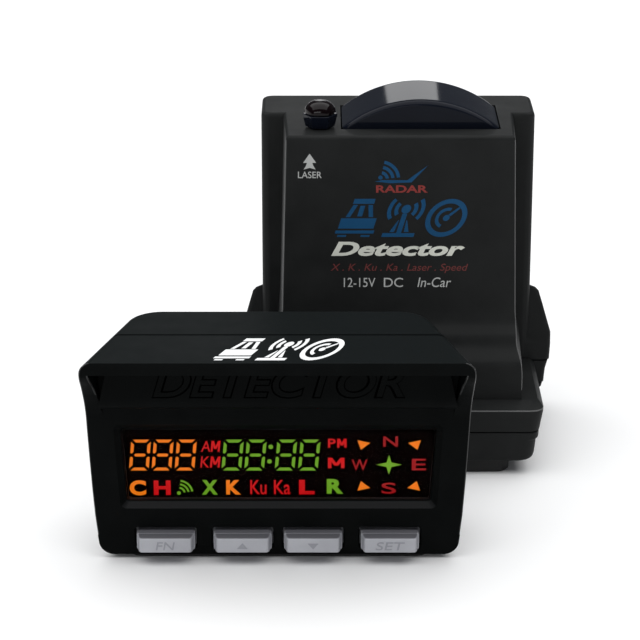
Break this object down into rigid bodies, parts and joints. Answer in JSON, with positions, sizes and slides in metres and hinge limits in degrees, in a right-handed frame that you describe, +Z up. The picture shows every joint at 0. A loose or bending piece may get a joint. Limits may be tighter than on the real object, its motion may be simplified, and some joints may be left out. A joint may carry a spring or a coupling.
{
  "type": "radar detector",
  "caption": "Split dashboard radar detector: hooded display head with a digit screen and a row of push keys, and a separate remote receiver head with a domed antenna lens.",
  "frame": {"origin": "middle of the footprint of both heads together, on the surface they stand on", "axes": "+Z up, -Y towards the viewer of the screen, +X to the right of the screen; the receiver head stands behind and to the right"},
  "size_m": [0.1076, 0.1028, 0.0865],
  "materials": {
    "housing_black": "fine matte texture",
    "key_grey": "satin",
    "smoked_window": "polished, dark red smoke",
    "lens_black": "polished",
    "laser_red": "polished",
    "black_part": "moulded",
    "board_green": "solder mask",
    "shield_steel": "tinned",
    "patch_ceramic": "fired",
    "zinc": "zinc casting, light grey",
    "screw_steel": "zinc plated",
    "rubber_black": "matt"
  },
  "bodies": {
    "display_head": {"display_front_bezel": "housing_black", "display_rear_shell": "housing_black", "display_window": "smoked_window", "led_display_module": "black_part", "board_connector": "black_part", "speaker_frame": "black_part", "link_jack": "black_part", "power_jack": "black_part", "switch_1": "black_part", "switch_2": "black_part", "switch_3": "black_part", "switch_4": "black_part", "display_board": "board_green", "main_board": "board_green", "satellite_board": "board_green", "processor_shield": "shield_steel", "service_port": "shield_steel", "speaker_magnet": "shield_steel", "satellite_antenna": "patch_ceramic", "case_screw_1": "screw_steel", "case_screw_2": "screw_steel", "dash_pad": "rubber_black"},
    "key_1": {"button_1": "key_grey", "switch_plunger_1": "key_grey"},
    "key_2": {"button_2": "key_grey", "switch_plunger_2": "key_grey"},
    "key_3": {"button_3": "key_grey", "switch_plunger_3": "key_grey"},
    "key_4": {"button_4": "key_grey", "switch_plunger_4": "key_grey"},
    "receiver_head": {"receiver_housing": "housing_black", "receiver_end_cap": "housing_black", "receiver_foot": "rubber_black", "antenna_lens": "lens_black", "lens_gasket": "rubber_black", "horn_antenna": "zinc", "microwave_block": "shield_steel", "receiver_board": "board_green", "receiver_shield": "shield_steel", "receiver_connector": "black_part", "laser_board": "board_green", "laser_sensor": "black_part", "laser_lens": "laser_red", "laser_collar": "housing_black", "link_socket": "black_part", "cap_screw_1": "screw_steel", "cap_screw_2": "screw_steel", "cap_screw_3": "screw_steel", "cap_screw_4": "screw_steel"}
  },
  "joints": [
    {"name": "key_1_press", "type": "slide", "parent": "display_head", "child": "key_1", "axis": [0, 1, 0], "range_m": [0, 0.0008], "stiffness_N_per_m": 800, "springref_m": -0.0005},
    {"name": "key_2_press", "type": "slide", "parent": "display_head", "child": "key_2", "axis": [0, 1, 0], "range_m": [0, 0.0008], "stiffness_N_per_m": 800, "springref_m": -0.0005},
    {"name": "key_3_press", "type": "slide", "parent": "display_head", "child": "key_3", "axis": [0, 1, 0], "range_m": [0, 0.0008], "stiffness_N_per_m": 800, "springref_m": -0.0005},
    {"name": "key_4_press", "type": "slide", "parent": "display_head", "child": "key_4", "axis": [0, 1, 0], "range_m": [0, 0.0008], "stiffness_N_per_m": 800, "springref_m": -0.0005},
    {"name": "receiver_lift_off", "type": "slide", "parent": "display_head", "child": "receiver_head", "axis": [0, 0, 1], "range_m": [0, 0.06]}
  ]
}
